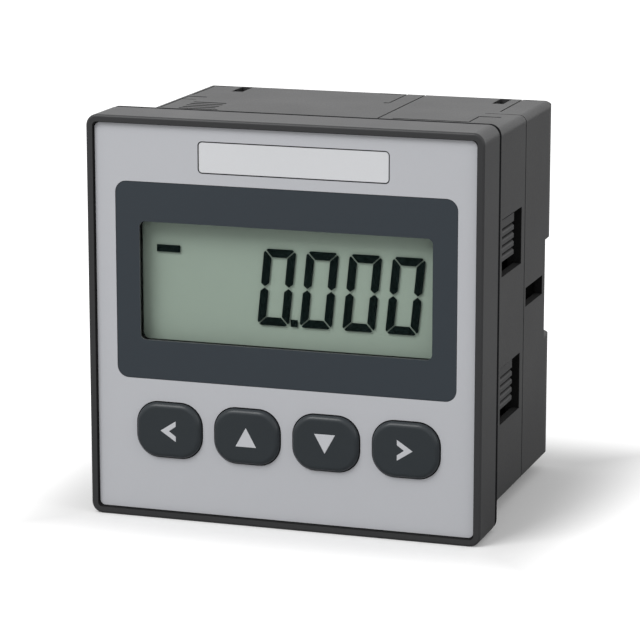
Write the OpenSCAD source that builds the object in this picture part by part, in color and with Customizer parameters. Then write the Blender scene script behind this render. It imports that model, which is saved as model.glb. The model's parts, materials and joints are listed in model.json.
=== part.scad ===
// Digital panel meter for a square instrument cut-out.
// X runs to the right as the display is read, Y runs into the panel and Z runs up.
// The origin is the centre of the seal face that meets the front of the panel.

/* [Bezel] */
// Width and height of the bezel
bezel_w = 96; // [86:0.5:108]
// Depth of the bezel from its rim to its back
bezel_t = 13; // [12.5:0.5:18]
// Radius of the bezel's corners
bezel_r = 2.7; // [1.8:0.1:4]
// Rounding round the front of the rim
rim_round = 0.6; // [0.3:0.1:1]
// Width of the rim round the front plate
rim_w = 1.7; // [1.5:0.1:3]
// Thickness of the bezel's side walls
skirt_wall = 2; // [1.6:0.1:2.4]
// Thickness of the bezel's front wall
front_wall = 2.5; // [2.2:0.1:3]
// Thickness of the seal between the bezel and the panel
seal_t = 1.8; // [1:0.1:3]

/* [Front plate] */
// Depth of the front plate below the rim
plate_recess = 0.9; // [0.4:0.1:1.5]
// Thickness of the front plate and of the display mask
plate_t = 1; // [0.8:0.1:1.5]
// Radius of the front plate's corners
plate_r = 1.3; // [0.8:0.1:2.5]
// Width of the label field
label_w = 45.7; // [30:0.1:60]
// Height of the label field
label_h = 7; // [5:0.1:8]
// Sideways place of the label field's centre
label_x = 2.5; // [-8:0.1:8]
// Distance from the top of the bezel down to the label field's centre
label_drop = 9; // [8.5:0.1:9.5]
// Depth of the label's recess in the plate
label_recess = 0.4; // [0.3:0.05:0.6]

/* [Display] */
// Distance from the side of the bezel to the dark display mask
mask_side = 6.5; // [5.5:0.1:8]
// Distance from the top of the bezel down to the mask, as a share of the bezel's width
mask_drop_share = 0.16; // [0.155:0.001:0.17]
// Distance from the bottom of the bezel up to the mask, as a share of the bezel's width
mask_rise_share = 0.35; // [0.345:0.001:0.36]
// Radius of the mask's corners
mask_r = 2.8; // [1:0.1:5]
// Width of the mask to each side of the viewing area
view_side = 5.9; // [5.5:0.1:10]
// Height of the mask above and below the viewing area, as a share of the mask's height
view_edge_share = 0.2; // [0.19:0.01:0.24]
// Radius of the viewing area's corners
view_r = 1.4; // [0.6:0.1:3]
// Thickness of the clear window
window_t = 1; // [0.8:0.1:1.2]
// Overlap of the clear window behind the mask
window_lap = 3.2; // [2:0.1:3.6]
// Thickness of the bezel's lip between the window and the display glass
lip_t = 0.6; // [0.5:0.1:0.8]
// Thickness of the display's front glass
glass_t = 1.1; // [0.7:0.1:1.3]
// Thickness of the display's rear glass with its reflector
back_t = 1.3; // [0.9:0.1:1.6]
// Margin of the display glass round the viewing area, to the sides
glass_side = 2.4; // [1.6:0.1:2.6]
// Margin of the display's front glass above and below the viewing area
glass_ledge = 4.1; // [3.6:0.1:4.4]
// Height of a digit, as a share of the viewing area's height
digit_share = 0.643; // [0.5:0.01:0.68]
// Width of a digit, as a share of its height
digit_slim = 0.429; // [0.38:0.005:0.45]
// Width of a segment, as a share of a digit's height
stroke_share = 0.107; // [0.06:0.001:0.12]
// Lean of the digits, in degrees
lean = 5.75; // [0:0.25:10]

/* [Keys] */
// Height of a key
key_h = 13.2; // [12:0.1:14]
// Radius of a key's corners
key_r = 5.3; // [3:0.1:6]
// Distance from the side of the bezel to the row of keys
key_side = 10.9; // [9:0.1:12]
// Rounding of a key's front edge
key_round = 1.2; // [0.6:0.1:1.4]
// Space between two keys
key_space = 3.25; // [2.9:0.05:5]
// Sideways place of the middle of the row of keys
key_x = 0.9; // [-1:0.1:1]
// Distance from the bottom of the bezel up to the row of keys
key_rise = 21.6; // [20.8:0.1:22.2]
// Height of a key above the front plate
key_proud = 1.2; // [0.8:0.1:2]
// Clearance round a key
key_gap = 0.25; // [0.2:0.05:0.4]
// Travel of a key
key_travel = 0.7; // [0.3:0.1:0.8]

/* [Housing] */
// Distance by which the bezel laps the panel round the housing
panel_lap = 3; // [2.6:0.1:4]
// Radius of the housing's long edges
body_r = 1.8; // [1.2:0.1:3]
// Depth of the housing behind the front of the panel
body_d = 60.2; // [54:0.2:75]
// Place of the seam between the housing and the rear cover
seam_y = 34; // [33:0.5:36]
// Thickness of the housing's walls
wall_t = 2; // [1.6:0.1:2.2]
// Depth of the waist across the back of the rear cover
waist_d = 5.4; // [4.6:0.1:6.5]
// Lower edge of the waist
waist_low = -12.5; // [-13.5:0.5:-10]
// Upper edge of the waist
waist_high = 10.2; // [8:0.2:12]
// Height of a latch window in the side of the housing
latch_h = 13.8; // [12:0.2:16]
// Length of a latch window
latch_d = 18.2; // [16.6:0.1:18.6]
// Height of the centre of the upper latch windows
latch_high = 16.6; // [14:0.2:18]
// Height of the centre of the lower latch windows
latch_low = -19.1; // [-21:0.1:-17]
// Number of grip grooves on a latch
latch_grooves = 4; // [3:1:6]
// Number of vent slots at the corner of the housing
vents = 5; // [3:1:6]
// Distance from one vent slot to the next
vent_pitch = 2.6; // [2.2:0.1:2.8]
// Width of the slots for a clamp foot, near the rear edge
foot_w = 2.9; // [2:0.1:4]
// Length of the slots for a clamp foot
foot_l = 8.4; // [6:0.1:12]

/* [Circuit boards] */
// Thickness of the circuit boards
board_t = 1.6; // [1:0.1:1.8]
// Distance from the display glass to the display board
board_gap = 7.7; // [7:0.1:9]
// Space between the display board and the latch arms
display_board_side = 1.5; // [1:0.1:3]
// Space above and below the display board, inside the bezel
display_board_edge = 4.5; // [4:0.1:5]
// Space between the housing's side walls and the two boards in it
board_side = 3.5; // [3.2:0.1:4.5]
// Distance from the top of the housing down to the board behind the upper terminals
board_drop = 25; // [24.5:0.5:26]
// Height of a switch body
switch_h = 3.6; // [3:0.1:4]
// Width of a switch body
switch_w = 6.2; // [5.6:0.1:8]

/* [Terminals] */
// Distance from one terminal to the next
pole_pitch = 5.08; // [5:0.08:5.08]
// Height of a terminal strip
strip_h = 15; // [14:0.5:16]
// Depth of a terminal strip
strip_d = 16; // [14:0.5:18]

/* [Hidden] */
$fn = 48;

// Clearances
cut = 1;             // how far a cutting shape runs past the face that it cuts
plate_gap = 0.2;     // front plate in the rim
mask_gap = 0.12;     // mask in the front plate
fit_gap = 0.3;       // glass, window and holder in their seats
body_gap = 0.3;      // housing in the bezel and in the seal
arm_gap = 0.5;       // latch arm inside the housing wall
catch_gap = 0.3;     // latch block in its window
board_slack = 0.15;  // board in its guides
screw_gap = 0.1;     // screw shank in its boss

// Depths from the rim to the display board
bezel_back = -seal_t;
bezel_front = bezel_back - bezel_t;
plate_front = bezel_front + plate_recess;
plate_back = plate_front + plate_t;
wall_back = plate_back + front_wall;
window_back = plate_back + window_t;
glass_float = 0.1;
glass_front = window_back + lip_t + glass_float;
ink_t = 0.1;
ink_front = glass_front + glass_t;
back_front = ink_front + ink_t;
lcd_back = back_front + back_t;
board_front = lcd_back + board_gap;
board_back = board_front + board_t;

// Front plate and display
plate_w = bezel_w - 2 * rim_w - 2 * plate_gap;
label_z = bezel_w / 2 - label_drop;
mask_w = bezel_w - 2 * mask_side;
mask_drop = mask_drop_share * bezel_w;
mask_rise = mask_rise_share * bezel_w;
mask_h = bezel_w - mask_drop - mask_rise;
view_w = mask_w - 2 * view_side;
view_h = mask_h * (1 - 2 * view_edge_share);
view_step = 0.15;    // opening of the bezel outside the opening of the mask
display_z = (mask_rise - mask_drop) / 2;
window_w = view_w + 2 * window_lap;
window_h = view_h + 2 * window_lap;
glass_w = view_w + 2 * glass_side;
glass_h = view_h + 2 * glass_ledge;
back_ledge = 2.5;
back_h = glass_h - 2 * back_ledge;
display_x = 0.3;
digit_h = digit_share * view_h;
digit_w = digit_slim * digit_h;
digit_pitch = digit_w * 4 / 3;
stroke = stroke_share * digit_h;
digit_base = display_z - digit_h / 2 - digit_h / 52;
digit_right = display_x + view_w / 2 - stroke * 1.4;
segment_gap = stroke * 0.16;
segment_cut = stroke * 0.44;
point_w = stroke * 0.87;
minus_w = stroke * 3;
minus_h = stroke * 0.87;
minus_x = display_x - view_w / 2 + stroke * 1.5;
minus_z = digit_base + digit_h - stroke * 0.3;

// Keys and switches
KEYS = [0, 1, 2, 3];
key_w = (bezel_w - 2 * key_side - 3 * key_space) / 4;
key_pitch = key_w + key_space;
key_z = key_rise - bezel_w / 2;
function key_at(i) = key_x + (i - 1.5) * key_pitch;
key_front = plate_front - key_proud;
key_float = 0.05;
flange_front = wall_back + key_float;
flange_t = 1;
flange_lap = 1;
flange_back = flange_front + flange_t;
switch_front = board_front - switch_h;
plunger_out = 1.6;
plunger_in = 0.7;
plunger_r = 1.7;
plunger_gap = 0.25;
stem_r = 2.5;
stem_back = switch_front - plunger_out;

// Latch arms of the bezel, seen through the housing's windows
body_w = bezel_w - 2 * panel_lap;
body_in = body_w / 2 - wall_t;
arm_t = 1.6;
arm_out = body_in - arm_gap;
latch_y = 12.8;
latch_block_d = latch_d - 5.3;
latch_block_h = 0.72 * latch_h;
latch_plain = 0.2;
latch_groove_floor = 0.25;
latch_groove_d = 0.7;
latch_top = body_w / 2 - 0.6;
latch_end_gap = 0.6;

// Display board, its bosses and its screws
display_board_w = 2 * (arm_out - arm_t - display_board_side);
display_board_h = bezel_w - 2 * skirt_wall - 2 * display_board_edge;
boss_r = 3;
boss_x = display_board_w / 2 - 3.9;
boss_top = display_board_h / 2 - 5;
boss_low = 3 - display_board_h / 2;
boss_screw_r = 1.1;
boss_screw_d = 6;
boss_head_r = 2.3;
boss_head_t = 1.8;
BOSSES = [[-boss_x, boss_top], [boss_x, boss_top], [-boss_x, boss_low], [boss_x, boss_low]];

// Parts on the back of the display board
controller_x = -display_board_w / 10;
controller_z = -4;
controller_w = display_board_w * 0.178;
controller_t = 1.4;
crystal_x = display_board_w * 0.152;
crystal_w = 10.2;
crystal_h = 4.4;
crystal_t = 3.4;
resistor_w = 2;
resistor_h = 1.25;
resistor_t = 0.6;
resistor_step = display_board_w / 20;
resistor_x = -6 * resistor_step;
resistor_z = 6;
mark_r = 0.6;
mark_d = 0.2;

// Housing and rear cover
collar_play = 1.4;
housing_front = wall_back + collar_play;
waist_y = body_d - waist_d;
upper_raise = body_w / 2 - waist_high;
lower_raise = body_w / 2 + waist_low;
rear_band = 3;
rear_taper = 0.3;
rear_bevel = 1.6;
lip_d = 3;
lip_wall = 1.3;
lip_gap = 0.15;
post_r = 3.6;
post_in = 5.2;
post_front = 6;
cover_post_r = 3.8;
screw_r = 1.5;
screw_hole_r = 1.7;
screw_head_r = 2.8;
screw_head_t = 2.2;
screw_sink = 3;
screw_sink_r = 3.1;
screw_grip = 11;
post_at = body_w / 2 - post_in;
CORNERS = [[-1, -1], [-1, 1], [1, -1], [1, 1]];
seam_w = 0.5;
seam_d = 0.4;
seam_left = 6 - body_w / 2;
seam_right = body_w / 2 - 10.2;
groove_w = 0.4;
groove_across = 0.9;
groove_d = 0.5;
vent_w = 1.1;
vent_l = 8.5;
vent_x = 7 - body_w / 2;
vent_last = seam_y - 3.2;
slot_y = seam_y + 1.8;
slot_end = waist_y - 2.5;
slot_low = -2;
slot_high = 2.7;
foot_rear = 1.4;
foot_left = 5.8 - post_at;
foot_right = post_at - 6.2;

// Grooves in the top of the housing, from left to right
groove_front_y = seam_y - 14.2;
groove_left = 2.3 - body_w / 2;
groove_left_in = groove_left + 4.9;
groove_short = 8;
groove_short_y = seam_y + 9.5;
groove_mid = 12.7;
groove_right = seam_right;
groove_jog_y = seam_y - 5;
groove_step = body_w / 2 - 4.8;
groove_far = body_w / 2 - 7.4;
groove_rear_y = body_d - 2;

// Boards in the housing
board_w = 2 * (body_in - board_side);
board_z = body_w / 2 - board_drop;
edge_y = board_back + 5;
rear_in = body_d - wall_t;
edge_back = rear_in - 0.6;
upper_top = board_z + board_t;
guide_t = 1.4;
guide_lap = 1.9;
guide_front = seam_y + 2;
socket_pins = 8;
socket_pitch = 2.54;
socket_pin = 1.2;
socket_w = (socket_pins + 1.4) * socket_pitch;
socket_h = 5;
socket_lap = 3;

// Terminal strips
strip_end = 1.5;
strip_post_gap = 3;
poles = floor(2 * (post_at - cover_post_r - strip_post_gap - strip_end) / pole_pitch);
strip_w = poles * pole_pitch + 2 * strip_end;
strip_rear = body_d - 0.6;
strip_front = strip_rear - strip_d;
strip_gap = 0.3;
entry_w = 3.8;
entry_h = 4.2;
entry_d = 10;
entry_up = 4.3;
driver_r = 2;
driver_d = 9;
driver_up = 10.6;
pole_groove = 0.5;
clamp_gap = 0.1;
clamp_d = 5;
clamp_side = 0.6;
terminal_head_t = 2;
function pole_at(i) = (i - (poles - 1) / 2) * pole_pitch;

// Parts on the boards
core_w = 0.405 * board_w;
core_h = 26;
core_d = 12;
core_x = core_w / 2 + 4.5 - board_w / 2;
core_y = edge_y + core_h * 0.85;
core_leg = core_w * 0.31;
core_rim = core_w * 0.156;
coil_t = core_rim * 1.04;
coil_gap = 0.15;
cap_r = 0.079 * board_w;
cap_h = 20;
small_cap_r = 0.051 * board_w;
small_cap_h = 12;
cap_x = core_x + core_w / 2 + cap_r + 4.8;
cap_y = edge_y + 2 * cap_r;
CAPS = [
    [cap_r, cap_h, cap_y],
    [small_cap_r, small_cap_h, cap_y + cap_r + small_cap_r + 2],
    [small_cap_r, small_cap_h, cap_y + cap_r + 3 * small_cap_r + 4]
];
relay_w = 0.1266 * board_w;
relay_d = 20;
relay_h = 15;
relay_space = 1.2;
relay_right = board_w / 2 - 3.5;
relay_y = edge_back - 9.8 - relay_d / 2;
fuse_l = 20;
fuse_r = 2.5;
fuse_up = 4;
fuse_y = edge_y + fuse_l * 0.9;
fuse_cap_l = 5;
fuse_wall = 0.5;
fuse_gap = 0.05;
chip_w = 10.3;
chip_d = 7.5;
chip_h = 2.3;
chip_x = -board_w * 0.304;
chip_y = edge_y + 2 * chip_d - 1;

// A square with rounded corners, in the X-Z plane when it is given to slab()
module rounded(w, h, r) {
    square([w - 2 * r, h], center = true);
    square([w, h - 2 * r], center = true);
    for (sx = [-1, 1], sz = [-1, 1])
        translate([sx * (w / 2 - r), sz * (h / 2 - r)])
            circle(r);
}

// A flat outline in the X-Z plane made solid from y0 to y1
module slab(y0, y1) {
    translate([0, y1, 0])
        rotate([90, 0, 0])
            linear_extrude(y1 - y0)
                children();
}

// A solid cylinder along Y, from y0 to y1
module rod(r, y0, y1) {
    translate([0, y1, 0])
        rotate([90, 0, 0])
            cylinder(r = r, h = y1 - y0);
}

// Half of a section whose outer front corner is rounded
module half_section(r, t, e) {
    square([r, t - e]);
    square([r - e, t]);
    translate([r - e, t - e])
        circle(e);
}

// A whole section with both front corners rounded
module full_section(w, t, e) {
    translate([-w / 2, 0])
        square([w, t - e]);
    translate([e - w / 2, 0])
        square([w - 2 * e, t]);
    for (s = [-1, 1])
        translate([s * (w / 2 - e), t - e])
            circle(e);
}

// A block with rounded corners and a rounded front edge, its back at y1 and its front at y0
module soft_block(w, h, y0, y1, r, e) {
    t = y1 - y0;
    translate([0, y1, 0])
        rotate([90, 0, 0]) {
            for (sx = [-1, 1], sz = [-1, 1])
                translate([sx * (w / 2 - r), sz * (h / 2 - r), 0])
                    rotate_extrude()
                        half_section(r, t, e);
            translate([0, h / 2 - r, 0])
                rotate([90, 0, 0])
                    linear_extrude(h - 2 * r)
                        full_section(w, t, e);
            translate([r - w / 2, 0, 0])
                rotate([90, 0, 90])
                    linear_extrude(w - 2 * r)
                        full_section(h, t, e);
        }
}

// Bezel -------------------------------------------------------------------------------------

// Openings for the four keys, with clearance
module key_holes(y0, y1) {
    for (i = KEYS)
        translate([key_at(i), 0, key_z])
            slab(y0, y1)
                rounded(key_w + 2 * key_gap, key_h + 2 * key_gap, key_r + key_gap);
}

// Section of a grip groove: square under the rib above it, then sloping out to the rib below
module grip_groove(w) {
    polygon([
        [cut, 0],
        [-latch_groove_d, 0],
        [-latch_groove_d, latch_groove_floor],
        [0, w],
        [cut, w]
    ]);
}

// One latch arm on the right, with the grooved block that shows in the window
module latch_arm(z) {
    y0 = latch_y + catch_gap;
    top = z + latch_h / 2 - latch_end_gap;
    low = top - latch_block_h;
    first = top - latch_block_h * latch_plain;
    pitch = (first - low) / latch_grooves;
    arm_front = wall_back - front_wall / 2;
    translate([arm_out - arm_t, arm_front, low])
        cube([arm_t, y0 + latch_block_d - arm_front, latch_block_h]);
    difference() {
        translate([arm_out - arm_t / 2, y0, low])
            cube([latch_top - arm_out + arm_t / 2, latch_block_d, latch_block_h]);
        for (i = [0 : latch_grooves - 1])
            translate([latch_top, y0 - cut, first - i * pitch])
                rotate([-90, 0, 0])
                    linear_extrude(latch_block_d + 2 * cut)
                        grip_groove(pitch * 0.55);
    }
}

module latch_arms() {
    for (z = [latch_low, latch_high]) {
        latch_arm(z);
        mirror([1, 0, 0])
            latch_arm(z);
    }
}

module bezel() {
    inner_r = 1;
    guide_d = 1.5;
    color("#3d3e40") {
        difference() {
            soft_block(bezel_w, bezel_w, bezel_front, bezel_back, bezel_r, rim_round);
            slab(bezel_front - cut, plate_back)
                rounded(plate_w + 2 * plate_gap, plate_w + 2 * plate_gap, plate_r + plate_gap);
            slab(wall_back, bezel_back - guide_d)
                rounded(bezel_w - 2 * skirt_wall, bezel_w - 2 * skirt_wall, inner_r);
            slab(bezel_back - 2 * guide_d, bezel_back + cut)
                rounded(body_w + 2 * body_gap, body_w + 2 * body_gap, inner_r);
            translate([display_x, 0, display_z]) {
                slab(plate_back - cut, window_back)
                    rounded(window_w + 2 * fit_gap, window_h + 2 * fit_gap, inner_r);
                slab(plate_back - cut, wall_back + cut)
                    rounded(view_w + 2 * view_step, view_h + 2 * view_step, view_r + view_step);
                slab(window_back + lip_t, wall_back + cut)
                    rounded(glass_w + 2 * fit_gap, glass_h + 2 * fit_gap, inner_r);
            }
            key_holes(plate_back - cut, wall_back + cut);
        }
        latch_arms();
        for (b = BOSSES)
            translate([b[0], 0, b[1]])
                difference() {
                    rod(boss_r, wall_back - front_wall / 2, board_front);
                    rod(boss_screw_r + screw_gap, board_front - boss_screw_d - 1, board_front + cut);
                }
    }
}

// Front plate, mask, label and window ---------------------------------------------------------

module front_plate() {
    color("#b9babd")
        difference() {
            slab(plate_front, plate_back)
                rounded(plate_w, plate_w, plate_r);
            translate([display_x, 0, display_z])
                slab(plate_front - cut, plate_back + cut)
                    rounded(mask_w, mask_h, mask_r);
            key_holes(plate_front - cut, plate_back + cut);
            translate([label_x, 0, label_z])
                slab(plate_front - cut, plate_front + label_recess)
                    rounded(label_w + 2 * fit_gap, label_h + 2 * fit_gap, 1.1);
        }
}

module display_mask() {
    color("#383f47")
        translate([display_x, 0, display_z])
            difference() {
                slab(plate_front + 0.1, plate_back)
                    rounded(mask_w - 2 * mask_gap, mask_h - 2 * mask_gap, mask_r - mask_gap);
                slab(plate_front - cut, plate_back + cut)
                    rounded(view_w, view_h, view_r);
            }
}

module label_strip() {
    color("#dedfe2")
        translate([label_x, 0, label_z])
            slab(plate_front + 0.1, plate_front + label_recess)
                rounded(label_w, label_h, 0.8);
}

module display_window() {
    color("#d8e6e2", 0.4)
        translate([display_x, 0, display_z])
            slab(plate_back, window_back)
                rounded(window_w, window_h, 0.8);
}

// Keys and switches ---------------------------------------------------------------------------

module key_cap(i) {
    color("#373c3f")
        translate([key_at(i), 0, key_z]) {
            soft_block(key_w, key_h, key_front, flange_front + flange_t / 2, key_r, key_round);
            slab(flange_front, flange_back)
                rounded(key_w + 2 * flange_lap, key_h + 2 * flange_lap, key_r);
            rod(stem_r, flange_back - flange_t / 2, stem_back);
        }
}

module key_left() {
    key_cap(0);
}

module key_up() {
    key_cap(1);
}

module key_down() {
    key_cap(2);
}

module key_right() {
    key_cap(3);
}

module plunger(i) {
    color("#1f1f20")
        translate([key_at(i), 0, key_z])
            rod(plunger_r, stem_back, switch_front + plunger_in);
}

module plunger_left() {
    plunger(0);
}

module plunger_up() {
    plunger(1);
}

module plunger_down() {
    plunger(2);
}

module plunger_right() {
    plunger(3);
}

module switch_bodies() {
    rivet = switch_w / 2 - 0.9;
    color("#2a2a2c")
        for (i = KEYS)
            translate([key_at(i), 0, key_z])
                difference() {
                    union() {
                        slab(switch_front, board_front)
                            rounded(switch_w, switch_w, 0.5);
                        for (c = CORNERS)
                            translate([c[0] * rivet, 0, c[1] * rivet])
                                rod(0.45, switch_front - 0.2, switch_front + 0.2);
                    }
                    rod(plunger_r + plunger_gap, switch_front - cut,
                        switch_front + plunger_in + key_travel + 0.5);
                }
}

// Display ---------------------------------------------------------------------------------------

module lcd_front_glass() {
    color("#cfdcd6", 0.4)
        translate([display_x, 0, display_z])
            slab(glass_front, ink_front)
                square([glass_w, glass_h], center = true);
}

module lcd_back_panel() {
    color("#8f9e92")
        translate([display_x, 0, display_z])
            slab(back_front, lcd_back)
                square([glass_w, back_h], center = true);
}

// A point of a digit, turned over where asked and leaning to the right
function leaning(p, over_x, over_z) =
    let (x = over_x ? digit_w - p[0] : p[0], z = over_z ? digit_h - p[1] : p[1])
    [x + z * tan(lean), z];

// The top segment of a digit, and the bottom one when it is turned over
module flat_segment(over_z) {
    g = segment_gap * 0.7071;
    c = segment_cut;
    points = [
        [c, digit_h],
        [(c + g) / 2, digit_h + (g - c) / 2],
        [stroke + g, digit_h - stroke],
        [digit_w - stroke - g, digit_h - stroke],
        [digit_w - (c + g) / 2, digit_h + (g - c) / 2],
        [digit_w - c, digit_h]
    ];
    polygon([for (p = points) leaning(p, false, over_z)]);
}

// The upper left segment of a digit, and the other three uprights when it is turned over
module upright_segment(over_x, over_z) {
    g = segment_gap * 0.7071;
    c = segment_cut;
    tip = digit_h / 2 + segment_gap / 2;
    points = [
        [(c - g) / 2, digit_h - (c + g) / 2],
        [0, digit_h - c],
        [0, tip + stroke * 0.4],
        [stroke / 2, tip],
        [stroke, tip + stroke * 0.4],
        [stroke, digit_h - stroke - g]
    ];
    polygon([for (p = points) leaning(p, over_x, over_z)]);
}

module zero() {
    for (z = [false, true]) {
        flat_segment(z);
        for (x = [false, true])
            upright_segment(x, z);
    }
}

module lcd_digits() {
    lean_top = digit_h * tan(lean);
    dot = digit_w + (digit_pitch - digit_w - point_w) / 2;
    color("#1a2321")
        slab(ink_front, back_front) {
            for (i = KEYS)
                translate([digit_right - lean_top - digit_w - i * digit_pitch, digit_base])
                    zero();
            translate([digit_right - lean_top - digit_w - 3 * digit_pitch + dot, digit_base])
                square([point_w, point_w]);
            translate([minus_x, minus_z - minus_h])
                square([minus_w, minus_h]);
        }
}

module lcd_holder() {
    rim = 1.4;
    shelf = 1.2;
    holder_w = glass_w + 2 * fit_gap + 2 * rim;
    holder_h = glass_h + 2 * fit_gap + 2 * rim;
    color("#e6e7e3")
        translate([display_x, 0, display_z])
            difference() {
                slab(wall_back, board_front)
                    rounded(holder_w, holder_h, 1);
                slab(wall_back - cut, lcd_back)
                    rounded(glass_w + 2 * fit_gap, glass_h + 2 * fit_gap, 0.5);
                slab(lcd_back + shelf, board_front + cut)
                    rounded(holder_w - 2 * rim, holder_h - 2 * rim, 0.5);
                for (s = [-1, 1])
                    translate([0, 0, s * pin_z()])
                        slab(lcd_back - cut, lcd_back + shelf + cut)
                            square([glass_w - 4, 1.1], center = true);
            }
}

// Height of a row of display pins above the display's middle
function pin_z() = glass_h / 2 - back_ledge / 2;

module lcd_pins() {
    pins = 18;
    pitch = (glass_w - 8) / (pins - 1);
    color("#c9c3a8")
        translate([display_x, 0, display_z])
            for (s = [-1, 1], i = [0 : pins - 1])
                translate([(i - (pins - 1) / 2) * pitch, 0, s * pin_z()])
                    slab(ink_front, board_front)
                        square([0.5, 0.5], center = true);
}

// Display board ---------------------------------------------------------------------------------

module display_board() {
    color("#2f5a3a")
        difference() {
            translate([0, 0, (boss_top + boss_low) / 2 + 1])
                slab(board_front, board_back)
                    rounded(display_board_w, display_board_h, 1);
            for (b = BOSSES)
                translate([b[0], 0, b[1]])
                    rod(boss_screw_r + 0.3, board_front - cut, board_back + cut);
        }
}

module board_screws() {
    color("#b8b8ba")
        for (b = BOSSES)
            translate([b[0], 0, b[1]]) {
                rod(boss_screw_r, board_front - boss_screw_d, board_back + boss_head_t / 2);
                soft_disc(boss_head_r, board_back, board_back + boss_head_t, 0.5);
            }
}

// A screw head: a disc whose rear edge is bevelled
module soft_disc(r, y0, y1, e) {
    translate([0, y0, 0])
        rotate([-90, 0, 0]) {
            cylinder(r = r, h = y1 - y0 - e);
            translate([0, 0, y1 - y0 - e])
                cylinder(r1 = r, r2 = r - e, h = e);
        }
}

module controller_chip() {
    mark_in = controller_w / 2 - 1.8;
    color("#242527")
        translate([controller_x, 0, controller_z])
            difference() {
                slab(board_back, board_back + controller_t)
                    rounded(controller_w, controller_w, 0.4);
                translate([-mark_in, 0, mark_in])
                    rod(mark_r, board_back + controller_t - mark_d, board_back + controller_t + cut);
            }
}

module crystal_can() {
    color("#c4c5c8")
        translate([crystal_x, 0, controller_z])
            slab(board_back, board_back + crystal_t)
                rounded(crystal_w, crystal_h, crystal_h * 0.48);
}

module chip_resistors() {
    color("#1d1d1f")
        for (i = [0 : 4], s = [0, 1])
            translate([resistor_x + i * resistor_step, 0, resistor_z + s * 4 * resistor_h])
                slab(board_back, board_back + resistor_t)
                    square([resistor_w, resistor_h], center = true);
}

// Seal, housing and cover ---------------------------------------------------------------------

module panel_seal() {
    edge_in = 0.05;
    color("#141415")
        difference() {
            slab(bezel_back, 0)
                rounded(bezel_w - 2 * edge_in, bezel_w - 2 * edge_in, bezel_r);
            slab(bezel_back - cut, cut)
                rounded(body_w + 2 * body_gap, body_w + 2 * body_gap, 1);
        }
}

// A groove in the top of the housing, from x0 to x1
module line_across(y, x0, x1) {
    translate([x0, y - groove_across / 2, body_w / 2 - groove_d])
        cube([x1 - x0, groove_across, groove_d + cut]);
}

// A groove in the top of the housing, from y0 to y1
module line_along(x, y0, y1) {
    translate([x - groove_w / 2, y0, body_w / 2 - groove_d])
        cube([groove_w, y1 - y0, groove_d + cut]);
}

// Outline of the moulded panels in the top of the housing and of the rear cover
module top_grooves() {
    far = body_d + cut;
    line_along(groove_left, groove_front_y, seam_y + 5);
    line_across(seam_y + 5, groove_left, groove_left_in);
    line_along(groove_left, seam_y + 8, groove_rear_y);
    line_across(groove_rear_y, groove_left, groove_left_in);
    line_across(groove_front_y, vent_x + 1, vent_x + vent_l + 1.5);
    line_along(groove_short, groove_short_y, far);
    line_across(groove_short_y, groove_short - 1.4, groove_short);
    line_across(groove_rear_y, groove_short - 7, groove_short - 1.4);
    line_along(groove_mid, groove_front_y - 1, far);
    line_across(groove_front_y, groove_mid + 3.3, groove_right);
    line_along(groove_right, groove_front_y, groove_jog_y);
    line_across(groove_jog_y, groove_right, groove_step);
    line_along(groove_far, seam_y + 4, far);
    line_across(groove_rear_y, groove_far + 1.2, groove_far + 4);
}

module vent_slots() {
    for (i = [0 : vents - 1])
        translate([vent_x, vent_last - i * vent_pitch - vent_w, body_in - cut])
            cube([vent_l, vent_w, wall_t + 2 * cut]);
}

module latch_windows() {
    for (z = [latch_low, latch_high])
        translate([-body_w, latch_y, z - latch_h / 2])
            cube([2 * body_w, latch_d, latch_h]);
}

module posts(r, y0, y1) {
    for (c = CORNERS)
        translate([c[0] * post_at, 0, c[1] * post_at])
            rod(r, y0, y1);
}

module front_housing() {
    color("#434446") {
        difference() {
            slab(housing_front, seam_y)
                rounded(body_w, body_w, body_r);
            slab(housing_front - cut, seam_y + cut)
                rounded(2 * body_in, 2 * body_in, 0.8);
            latch_windows();
            vent_slots();
            mirror([0, 0, 1])
                vent_slots();
            top_grooves();
        }
        difference() {
            posts(post_r, post_front, seam_y);
            posts(screw_r + screw_gap, seam_y - screw_grip - 1, seam_y + cut);
        }
    }
}

// Rear view outline of the two raised terminal areas, each inset by i
module raised_areas(i) {
    translate([0, waist_high + upper_raise / 2])
        rounded(body_w - 2 * i, upper_raise - 2 * i, body_r);
    translate([0, waist_low - lower_raise / 2])
        rounded(body_w - 2 * i, lower_raise - 2 * i, body_r);
}

// Bevels along the rear edges of the raised areas, and a taper of the sides towards the rear
module rear_bevels() {
    for (z = [-body_w / 2, waist_low, waist_high, body_w / 2])
        translate([0, body_d, z])
            rotate([45, 0, 0])
                cube([2 * body_w, rear_bevel, rear_bevel], center = true);
    for (s = [0, 1])
        mirror([s, 0, 0])
            translate([body_w / 2, body_d, -body_w])
                linear_extrude(2 * body_w)
                    polygon([
                        [0, -rear_band],
                        [-rear_taper, -rear_taper],
                        [-2 * rear_taper, cut],
                        [wall_t, cut],
                        [wall_t, -rear_band]
                    ]);
}

// Fills the seam's recess along the top and the bottom, between the moulded panels
module seam_fill() {
    for (s = [0, 1])
        mirror([0, 0, s])
            translate([seam_left, seam_y, body_w / 2 - 2 * seam_d])
                cube([seam_right - seam_left, 2 * seam_w, 2 * seam_d]);
}

// Guides in which the edges of a board rest, at the left and right walls
module board_guides(z0, z1) {
    x0 = board_w / 2 - guide_lap;
    length = rear_in - guide_front;
    for (s = [0, 1])
        mirror([s, 0, 0])
            difference() {
                translate([x0, guide_front, z0 - guide_t])
                    cube([body_in - x0 + wall_t / 2, length + wall_t / 2, z1 - z0 + 2 * guide_t]);
                translate([x0 - cut, guide_front - cut, z0])
                    cube([board_w / 2 + board_slack - x0 + cut, length + cut, z1 - z0]);
            }
}

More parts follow.
